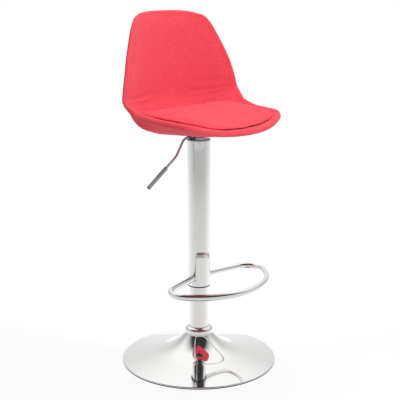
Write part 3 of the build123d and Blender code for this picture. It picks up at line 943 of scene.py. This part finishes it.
@dataclass
class Bucket:
    """The upholstered bucket: a padded front cover with a rolled rim, and a panel set into its back."""

    form: BucketForm
    front_lift: float = 0.010
    rim_lift: float = 0.0015
    seat_roll: float = 0.0078
    back_roll: float = 0.0050
    roll_bulge: float = 0.0078
    roll_from: float = 0.19
    roll_over: float = 0.09
    soft_edge: float = 0.034
    face_spread: float = 0.9
    lip: float = 0.011
    lip_reach: float = 1.25
    lip_from: float = 0.55
    lip_over: float = 0.45
    recess: float = 0.0
    # The pulled creases: their place on the bend, band, ends across the cover, spacing, slant, wander and height
    crease_place: float = 0.86
    crease_band: float = 0.040
    crease_from: float = 0.22
    crease_in: float = 0.3
    crease_to: float = 0.98
    crease_out: float = 0.2
    crease_pitch: float = 0.024
    crease_slant: float = 0.10
    crease_wander: float = 2.6
    crease_height: float = 0.0016
    wander_grain: tuple = (9, 14, 3.0)
    sway_grain: tuple = (11, 11, 7.0)
    sway_height: float = 0.0008
    panel_step: float = 0.0056
    panel_gap: float = 0.0030
    panel_crown: float = -0.0054
    panel_soft: float = 0.036
    panel_spread: float = 0.85
    panel_seam: float = 0.004
    panel_back: float = 0.0002
    panel_seat: float = -0.0018
    plate_run: float = 0.169
    plate_reach: float = 0.085
    panel_hips: float = -0.0050
    hip_from: float = 0.135
    hip_over: float = 0.045
    hip_run: float = 0.215
    hip_reach: float = 0.075
    panel_least: float = -0.0008
    shell_inset: float = 0.0320
    shell_half_wall: float = 0.0015
    shell_reach: float = 1.02
    shell_around: int = 120
    shell_rings: int = 48
    boss_radius: float = 0.0085
    boss_places: float = 0.042
    centre_run: float = 0.195
    around: int = 200
    rings: int = 92
    face_rings: int = 46
    roll_rings: int = 18
    lip_rings: int = 8
    # The rim's ends on the flat pattern, from the front's middle and to the top's middle: across, run
    front_end: tuple = ((0.0, 0.0030), (0.030, 0.0038), (0.060, 0.0068), (0.090, 0.0128), (0.117, 0.0215))
    top_end: tuple = ((0.110, -0.0178), (0.089, -0.0118), (0.060, -0.0082), (0.029, -0.0066), (0.0, -0.0062))

    def __post_init__(self) -> None:
        """Draws the rim on the flat pattern, closed round at the front and the top."""
        form = self.form
        side = list(zip(form.edges, form.runs))[3:-2]
        top = [(across, form.length + run) for across, run in self.top_end]
        self.rim = Outline(list(self.front_end) + side + top, self.centre_run)

    def creases(self, across: float, run: float, edge: float) -> float:
        """Draws the cover's pulled creases, where the seat turns up into the back, and its slight sway.

        Args:
            across: distance along the section from its middle.
            run: distance along the centre line from its front.
            edge: the section's half length.

        Returns:
            How far the cover stands off for them.
        """
        side = abs(across) / edge
        middle = self.form.seat_length + self.crease_place * self.form.bend_length
        ends = ease((side - self.crease_from) / self.crease_in), ease((self.crease_to - side) / self.crease_out)
        band = math.exp(-((run - middle) / self.crease_band) ** 2) * ends[0] * ends[1]
        fine, long, seed = self.wander_grain
        drift = noise.noise(Vector((across * fine, run * long, seed)))
        turn = 2 * math.pi * (run + self.crease_slant * abs(across)) / self.crease_pitch
        fine, long, seed = self.sway_grain
        sway = self.sway_height * noise.noise(Vector((across * fine, run * long, seed)))
        return self.crease_height * band * math.sin(turn + self.crease_wander * drift) + sway

    def roll(self, run: float) -> float:
        """Returns the rim's half thickness: plump round the seat, slimmer up the back."""
        slim = ease((run - self.roll_from) / self.roll_over)
        return self.seat_roll + (self.back_roll - self.seat_roll) * slim

    def cover_rule(self, way: Vector) -> tuple[Vector, tuple[float, float]]:
        """Places the front cover: its face, its rolled rim and the lip behind.

        Args:
            way: a direction on the ball.

        Returns:
            The place, and where it is on the flat pattern.
        """
        angle = math.atan2(way.x, way.y)
        step = math.acos(max(-1.0, min(1.0, way.z))) / math.pi * self.rings
        edge = self.rim.reach(angle)
        half = self.roll(self.centre_run + edge * math.cos(angle))
        roll_end = self.face_rings + self.roll_rings
        lip_end = roll_end + self.lip_rings
        if step <= self.face_rings:
            reach = edge * (step / self.face_rings) ** self.face_spread
            rim = self.rim_lift + half
            lift, flat = rim + (self.front_lift - rim) * ease((edge - reach) / self.soft_edge), reach
        elif step <= roll_end:
            turn = math.pi * (0.5 - (step - self.face_rings) / self.roll_rings)
            reach = edge + self.roll_bulge * math.cos(turn)
            lift, flat = self.rim_lift + half * math.sin(turn), edge + half * (math.pi / 2 - turn)
        elif step <= lip_end:
            share = (step - roll_end) / self.lip_rings
            reach = edge - self.lip * min(1.0, self.lip_reach * share)
            turned_in = ease((share - self.lip_from) / self.lip_over)
            lift = self.rim_lift - half + (self.recess - self.rim_lift + half) * turned_in
            flat = edge + half * math.pi + self.lip * share
        else:
            share = (step - lip_end) / (self.rings - lip_end)
            reach = (edge - self.lip) * (1 - share)
            lift, flat = self.recess, edge + half * math.pi + self.lip + reach
        across, run = reach * math.sin(angle), self.centre_run + reach * math.cos(angle)
        if step <= roll_end:
            lift += self.creases(across, run, self.form.edge.at(run))
        place = self.form.point(across, run, lift)
        return place, (flat * math.sin(angle), self.centre_run + flat * math.cos(angle))

    def crown(self, reach: float, angle: float) -> float:
        """Returns the rear panel's height off the shell: fuller over the seat plate and round the hips.

        Args:
            reach: distance from the flat pattern's centre.
            angle: angle from the middle line.

        Returns:
            The height, below zero because the panel is behind the shell.
        """
        across, run = abs(reach * math.sin(angle)), self.centre_run + reach * math.cos(angle)
        plate = math.exp(-(math.hypot(across, run - self.plate_run) / self.plate_reach) ** 2)
        hips = ease((across - self.hip_from) / self.hip_over)
        hips *= math.exp(-((run - self.hip_run) / self.hip_reach) ** 2)
        return self.panel_crown + self.panel_seat * plate + self.panel_hips * hips

    def panel_rule(self, way: Vector) -> tuple[Vector, tuple[float, float]]:
        """Places the rear panel, which swells from its seam to the middle.

        Args:
            way: a direction on the ball.

        Returns:
            The place, and where it is on the flat pattern.
        """
        angle = math.atan2(way.x, way.y)
        whole = self.rim.reach(angle)
        edge = whole - self.lip - self.panel_gap
        under = self.rim_lift - self.roll(self.centre_run + whole * math.cos(angle))
        low = min(under + self.panel_step, self.panel_least)
        colatitude = math.acos(max(-1.0, min(1.0, -way.z)))
        if colatitude <= math.pi / 2:
            reach = edge * (colatitude / (math.pi / 2)) ** self.panel_spread
            swell = low + (self.crown(reach, angle) - low) * ease((edge - reach) / self.panel_soft)
            lift = self.recess + (swell - self.recess) * math.sqrt(ease((edge - reach) / self.panel_seam))
        else:
            reach = edge * (math.pi - colatitude) / (math.pi / 2)
            lift = self.recess + self.panel_back
        across, run = reach * math.sin(angle), self.centre_run + reach * math.cos(angle)
        return self.form.point(across, run, lift), (across, run)

    def shell_rule(self, way: Vector) -> tuple[Vector, tuple[float, float]]:
        """Places the moulded shell between cover and panel: an even wall that stops short of the rim.

        Args:
            way: a direction on the ball.

        Returns:
            The place, and where it is on the flat pattern.
        """
        angle = math.atan2(way.x, way.y)
        edge = self.rim.reach(angle) - self.shell_inset
        colatitude = math.acos(max(-1.0, min(1.0, abs(way.z))))
        reach = edge * min(1.0, colatitude / (math.pi / 2) * self.shell_reach)
        across, run = reach * math.sin(angle), self.centre_run + reach * math.cos(angle)
        return self.form.point(across, run, math.copysign(self.shell_half_wall, way.z)), (across, run)

    def shell(self) -> bmesh.types.BMesh:
        """Forms the shell and sets a boss for each threaded insert under it.

        Returns:
            The shell's bmesh, in place.
        """
        bm = bmesh.new()
        bmesh.ops.create_uvsphere(bm, u_segments=self.shell_around, v_segments=self.shell_rings, radius=1.0)
        draw_form(bm, self.shell_rule)
        low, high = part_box("threaded_inserts")
        depth = high[2] - low[2]
        for x in (-self.boss_places, self.boss_places):
            for y in (-self.boss_places, self.boss_places):
                place = Matrix.Translation((x, y, low[2] + depth / 2))
                bmesh.ops.create_cone(bm, cap_ends=True, segments=32, radius1=self.boss_radius,
                                      radius2=self.boss_radius, depth=depth, matrix=place)
        return bm

    def build(self) -> None:
        """Forms the shell, the cover and the panel, and smooths the upholstery once."""
        make_piece("bucket_shell", self.shell(), SHELL_PLASTIC, Body.SEAT, ("seat_shell",))
        for name, node, rule in (("bucket_cover", "front_cover", self.cover_rule),
                                 ("bucket_rear_panel", "rear_panel", self.panel_rule)):
            bm = bmesh.new()
            bmesh.ops.create_uvsphere(bm, u_segments=self.around, v_segments=self.rings, radius=1.0)
            draw_form(bm, rule)
            piece = make_piece(name, bm, FABRIC, Body.SEAT, (node,), 180.0)
            smooth = piece.modifiers.new("smooth", "SUBSURF")
            smooth.levels = smooth.render_levels = 1


@dataclass
class SeatPad:
    """The domed seat pad that fills the bucket, sewn round its edge and filled by a cloth simulation."""

    form: BucketForm
    bed_lift: float = 0.0108
    seam_lift: float = 0.0125
    # How the seam stands higher along the sides: by how much, how much more towards the rear, its cap and its ends
    side_lift: float = 0.006
    side_tilt: float = 1.4
    side_most: float = 0.009
    side_from: float = 0.5
    side_over: float = 0.4
    centre_run: float = 0.120
    centre_height: float = 0.656
    plump: float = 0.0115
    seam_top: float = 0.6465
    side_share: float = 0.35
    raise_share: float = 0.4
    inset: float = 0.0145
    # Powers of the distance from the middle: the points' spacing, the underside's rise, the dome and its round edge
    spacing: float = 0.8
    under_rise: int = 8
    dome: int = 2
    round_edge: int = 14
    cuts: int = 44
    frames: int = 20
    quality: int = 6
    pressure: float = 4.0
    stretch: float = 8.0
    bending: float = 2.0
    held_below: float = 0.08
    most_move: float = 0.006
    # Share of the bucket's edge, less the inset, that the pad covers at each station from its front to its rear
    first_station: int = 2
    shares: tuple = (0.76, 0.93, 0.985, 0.99, 0.975, 0.945, 0.915, 0.87, 0.74, 0.42)
    corner_back: float = 0.006
    front_run: float = 0.0150
    front_bow: tuple = (0.045, 0.0018)
    rear_run: float = 0.2720
    rear_bow: tuple = (0.030, 0.001)

    def __post_init__(self) -> None:
        """Draws the pad's seam on the flat pattern, and finds its middle."""
        form = self.form
        rows = list(zip(form.edges, form.runs))[self.first_station:]
        side = [((edge - self.inset) * share, run) for (edge, run), share in zip(rows, self.shares)]
        side[0] = (side[0][0], side[0][1] + self.corner_back)
        front = [(0.0, self.front_run), (self.front_bow[0], self.front_run + self.front_bow[1])]
        rear = [(self.rear_bow[0], self.rear_run - self.rear_bow[1]), (0.0, self.rear_run)]
        self.seam = Outline(front + side + rear, self.centre_run)
        self.middle = form.point(0.0, self.centre_run, self.bed_lift)

    def seam_rise(self, angle: float) -> float:
        """Works out the seam's height, which is greater along the sides, most of all towards the rear.

        Args:
            angle: angle from the middle line.

        Returns:
            The height off the shell.
        """
        side = ease((abs(math.sin(angle)) - self.side_from) / self.side_over)
        raised = self.side_lift * (1 + self.side_tilt * math.cos(angle)) * side
        return self.seam_lift + min(max(raised, 0.0), self.side_most)

    def rule(self, way: Vector) -> tuple[Vector, tuple[float, float]]:
        """Places the slack pad, before it is filled.

        Args:
            way: a direction on the ball.

        Returns:
            The place, and where it is on the flat pattern.
        """
        angle = math.atan2(way.x, way.y)
        share = min(1.0, math.hypot(way.x, way.y) ** self.spacing)
        reach, lift = self.seam.reach(angle), self.seam_rise(angle)
        flat = (reach * share * math.sin(angle), self.centre_run + reach * share * math.cos(angle))
        if way.z < 0:
            rise = self.bed_lift + (lift - self.bed_lift) * share ** self.under_rise
            return self.form.point(*flat, rise), flat
        seam = self.form.point(reach * math.sin(angle), self.centre_run + reach * math.cos(angle), lift)
        place = self.middle.lerp(seam, share)
        level = min(seam.z, self.seam_top + self.side_share * (seam.z - self.seam_top)) + self.plump
        level += self.raise_share * (lift - self.seam_lift)
        place.z = self.centre_height + (level - self.centre_height) * share ** self.dome
        place.z -= (level - seam.z) * (1 - math.sqrt(max(0.0, 1 - share ** self.round_edge)))
        return place, flat

    def fill(self, piece: bpy.types.Object, held: list[int]) -> None:
        """Blows the pad up with a cloth simulation and keeps the result in its mesh.

        Args:
            piece: the slack pad.
            held: the points of its underside and seam, which stay in place.
        """
        group = piece.vertex_groups.new(name="held")
        group.add(held, 1.0, "REPLACE")
        cloth = piece.modifiers.new("fill", "CLOTH")
        settings = cloth.settings
        settings.quality = self.quality
        settings.use_pressure = True
        settings.uniform_pressure_force = self.pressure
        settings.effector_weights.gravity = 0.0
        settings.vertex_group_mass = "held"
        settings.tension_stiffness = settings.compression_stiffness = self.stretch
        settings.bending_stiffness = self.bending
        scene = bpy.context.scene
        for number in range(1, self.frames + 1):
            scene.frame_set(number)
        seen = piece.evaluated_get(bpy.context.evaluated_depsgraph_get())
        most = 0.0
        for vert, moved in zip(piece.data.vertices, seen.data.vertices):
            step = moved.co - vert.co
            most = max(most, step.length)
            if step.length > self.most_move:
                step *= self.most_move / step.length
            vert.co += step
        LOG.info("%s: cloth moved up to %.1f mm before its cap", piece.name, most / MM)
        piece.modifiers.remove(cloth)
        piece.vertex_groups.remove(group)
        scene.frame_set(1)

    def build(self) -> None:
        """Sews the pad, fills it and smooths it once."""
        bm = bmesh.new()
        bmesh.ops.create_cube(bm, size=2.0)
        bmesh.ops.subdivide_edges(bm, edges=bm.edges[:], cuts=self.cuts, use_grid_fill=True)
        bm.verts.index_update()
        held = [v.index for v in bm.verts if v.co.normalized().z < self.held_below]
        draw_form(bm, self.rule)
        piece = make_piece("seat_cushion", bm, FABRIC, Body.SEAT, ("seat_pad",), 180.0)
        self.fill(piece, held)
        smooth = piece.modifiers.new("smooth", "SUBSURF")
        smooth.levels = smooth.render_levels = 1


@dataclass(frozen=True)
class StudioFloor(Finish):
    """White seamless paper: matt, and as white as its lamps make it, with the stool's shadow left on it."""

    white_near: float = 0.80
    white_from: float = 0.30
    white_all: float = 1.1
    front: tuple = (0.0, -1.0, 0.0)
    room_tone: float = 0.60
    back_tone: float = 0.98
    near_glow: float = 0.14
    far_dim: float = -0.08
    glow_from: float = 0.3
    glow_to: float = 4.0

    def detail(self, tree: bpy.types.NodeTree, surface: bpy.types.Node) -> None:
        """Mixes in plain white where the camera or a mirror sees the paper, dimmer out towards the room.

        Args:
            tree: the material's node tree.
            surface: its Principled shader.
        """
        paths = add(tree, "LightPath").outputs
        place = add(tree, "TexCoord").outputs["Object"]
        away = add(tree, "VectorMath", {0: place}, operation="LENGTH").outputs["Value"]
        inputs = {"Value": away, "From Min": self.white_from, "From Max": self.white_all, "To Min": self.white_near}
        share = add(tree, "MapRange", inputs, interpolation_type="SMOOTHSTEP").outputs[0]
        seen = paths["Is Camera Ray"]
        for ray in ("Is Glossy Ray", "Is Transmission Ray"):
            seen = add(tree, "Math", {0: seen, 1: paths[ray]}, operation="MAXIMUM").outputs[0]
        share = add(tree, "Math", {0: seen, 1: share}, operation="MULTIPLY").outputs[0]
        ahead = add(tree, "VectorMath", {0: place, 1: self.front}, operation="DOT_PRODUCT").outputs["Value"]
        ahead = add(tree, "Math", {0: ahead, 1: away}, operation="DIVIDE").outputs[0]
        inputs = {"Value": ahead, "From Min": -1.0, "From Max": 1.0, "To Min": self.back_tone,
                  "To Max": self.room_tone}
        tone = add(tree, "MapRange", inputs, interpolation_type="SMOOTHSTEP").outputs[0]
        inputs = {"Value": away, "From Min": self.glow_from, "From Max": self.glow_to, "To Min": self.near_glow,
                  "To Max": self.far_dim}
        glow = add(tree, "MapRange", inputs).outputs[0]
        tone = add(tree, "Math", {0: tone, 1: glow}, operation="ADD").outputs[0]
        tone = add(tree, "Math", {0: tone, 1: paths["Is Camera Ray"]}, operation="MAXIMUM").outputs[0]
        white = add(tree, "Emission", {"Color": linear("FFFFFF"), "Strength": tone}).outputs[0]
        mixed = add(tree, "MixShader", {0: share, 1: surface.outputs[0], 2: white}).outputs[0]
        output = next(n for n in tree.nodes if n.type == "OUTPUT_MATERIAL")
        tree.links.new(mixed, output.inputs["Surface"])


@dataclass(frozen=True)
class SoftBox:
    """A lamp: degrees round the column from the camera to its right, level distance, height, side and watts."""

    name: str
    turn: float
    distance: float
    height: float
    size: float
    power: float


@dataclass(frozen=True)
class Ceiling:
    """Part of the room's ceiling: its side, behind (1) or over the camera (-1), its rise and its brightness."""

    side: float
    low: float
    high: float
    tone: float


@dataclass
class Studio:
    """Floor, lamps, surroundings and the camera at the photograph's angle."""

    view_turn: float = math.radians(-48.0)
    distance: float = 2.3417
    height: float = 0.9988
    pitch: float = math.radians(13.70)
    focal_pixels: float = 950.0
    image_pixels: float = 400.0
    axis_pixel: float = 198.9
    floor_radius: float = 36.0
    floor_sides: int = 96
    # Brightness of the room's walls by degrees from straight behind the stool
    walls: tuple = ((0.0, 0.94), (20.0, 0.80), (50.0, 0.54), (90.0, 0.62), (130.0, 0.68), (180.0, 0.60))
    # A bright ceiling behind the stool, and an unlit one over the camera
    ceilings: tuple = (Ceiling(1.0, 0.35, 0.80, 1.1), Ceiling(-1.0, 0.30, 0.52, 0.04))
    ceiling_from: float = -0.1
    ceiling_all: float = 0.5
    soft_light: float = 0.58
    lamps: tuple = (SoftBox("key", 32.0, 2.2, 2.4, 1.4, 66.0), SoftBox("top", 160.0, 0.6, 2.6, 1.4, 23.0))
    aim_height: float = 0.55

    def towards_camera(self) -> Vector:
        """Returns the level direction from the column to the camera."""
        return Vector((math.sin(self.view_turn), -math.cos(self.view_turn), 0.0))

    def camera(self) -> None:
        """Sets up the camera."""
        data = bpy.data.cameras.new("camera")
        data.sensor_width = 36.0
        data.lens = data.sensor_width * self.focal_pixels / self.image_pixels
        data.shift_x = (self.image_pixels / 2 - self.axis_pixel) / self.image_pixels
        data.clip_end = 50.0
        camera = bpy.data.objects.new("camera", data)
        back = self.towards_camera()
        camera.location = back * self.distance + Vector((0, 0, self.height))
        look = -back * math.cos(self.pitch) - Vector((0, 0, math.sin(self.pitch)))
        camera.rotation_euler = look.to_track_quat("-Z", "Y").to_euler()
        bpy.context.scene.collection.objects.link(camera)
        bpy.context.scene.camera = camera

    def lamp(self, box: SoftBox) -> None:
        """Hangs a soft box that faces the seat.

        Args:
            box: its place, size and power.
        """
        data = bpy.data.lights.new(box.name, "AREA")
        data.size = box.size
        data.energy = box.power
        lamp = bpy.data.objects.new(box.name, data)
        angle = self.view_turn + math.radians(box.turn)
        lamp.location = (math.sin(angle) * box.distance, -math.cos(angle) * box.distance, box.height)
        aim = Vector((0, 0, self.aim_height)) - lamp.location
        lamp.rotation_euler = aim.to_track_quat("-Z", "Y").to_euler()
        lamp.visible_glossy = False
        bpy.context.scene.collection.objects.link(lamp)

    def surroundings(self) -> None:
        """Makes the studio round the stool: white paper behind it, greyer towards the camera's side."""
        world = bpy.data.worlds.new("studio")
        bpy.context.scene.world = world
        world.use_nodes = True
        tree = world.node_tree
        tree.nodes.clear()
        way = add(tree, "TexCoord").outputs["Generated"]
        back = -self.towards_camera()
        level = add(tree, "VectorMath", {0: way, 1: (1.0, 1.0, 0.0)}, operation="MULTIPLY").outputs["Vector"]
        level = add(tree, "VectorMath", {0: level}, operation="NORMALIZE").outputs["Vector"]
        facing = add(tree, "VectorMath", {0: level, 1: back}, operation="DOT_PRODUCT").outputs["Value"]
        turn = add(tree, "Math", {0: facing}, operation="ARCCOSINE").outputs[0]
        turn = add(tree, "Math", {0: turn, 1: math.pi}, operation="DIVIDE").outputs[0]
        ramp = add(tree, "ValToRGB", {"Fac": turn})
        ramp.color_ramp.interpolation = "EASE"
        while len(ramp.color_ramp.elements) < len(self.walls):
            ramp.color_ramp.elements.new(1.0)
        for stop, (place, tone) in zip(ramp.color_ramp.elements, self.walls):
            stop.position = place / 180
            stop.color = (tone, tone, tone, 1.0)
        height = add(tree, "SeparateXYZ", {0: way}).outputs["Z"]
        tone = ramp.outputs["Color"]
        for part in self.ceilings:
            side = add(tree, "Math", {0: facing, 1: part.side}, operation="MULTIPLY").outputs[0]
            inputs = {"Value": side, "From Min": self.ceiling_from, "From Max": self.ceiling_all}
            side = add(tree, "MapRange", inputs, interpolation_type="SMOOTHSTEP").outputs[0]
            inputs = {"Value": height, "From Min": part.low, "From Max": part.high}
            over = add(tree, "MapRange", inputs, interpolation_type="SMOOTHSTEP").outputs[0]
            share = add(tree, "Math", {0: side, 1: over}, operation="MULTIPLY").outputs[0]
            grey = (part.tone, part.tone, part.tone, 1.0)
            tone = add(tree, "Mix", {0: share, 6: tone, 7: grey}, data_type="RGBA").outputs[2]
        paths = add(tree, "LightPath").outputs
        inputs = {0: paths["Is Camera Ray"], 6: tone, 7: linear("FFFFFF")}
        shade = add(tree, "Mix", inputs, data_type="RGBA").outputs[2]
        level = add(tree, "Mix", {0: paths["Is Diffuse Ray"], 2: 1.0, 3: self.soft_light}).outputs[0]
        background = add(tree, "Background", {"Color": shade, "Strength": level})
        add(tree, "OutputWorld", {"Surface": background.outputs[0]})

    def floor(self) -> None:
        """Lays the paper on the floor."""
        bm = bmesh.new()
        bmesh.ops.create_circle(bm, cap_ends=True, segments=self.floor_sides, radius=self.floor_radius)
        mesh = bpy.data.meshes.new("paper_floor")
        bm.to_mesh(mesh)
        bm.free()
        paper = StudioFloor("white_seamless_paper", "F4F4F4", 0.9, front=tuple(self.towards_camera()))
        mesh.materials.append(paper.material())
        floor = bpy.data.objects.new("paper_floor", mesh)
        bpy.context.scene.collection.objects.link(floor)

    def build(self) -> None:
        """Builds the studio."""
        bpy.context.scene.view_settings.view_transform = "Standard"
        self.camera()
        self.surroundings()
        self.floor()
        for box in self.lamps:
            self.lamp(box)


def main() -> None:
    """Builds the sub-assemblies in order."""
    logging.basicConfig(level=logging.INFO, format="%(name)s: %(message)s")
    form = BucketForm()
    for part in (Foot(), Column(), Footrest(), ReleaseLever(), Bucket(form), SeatPad(form), Studio()):
        part.build()
        LOG.info("%s built", type(part).__name__)


if __name__ == "__main__":
    main()
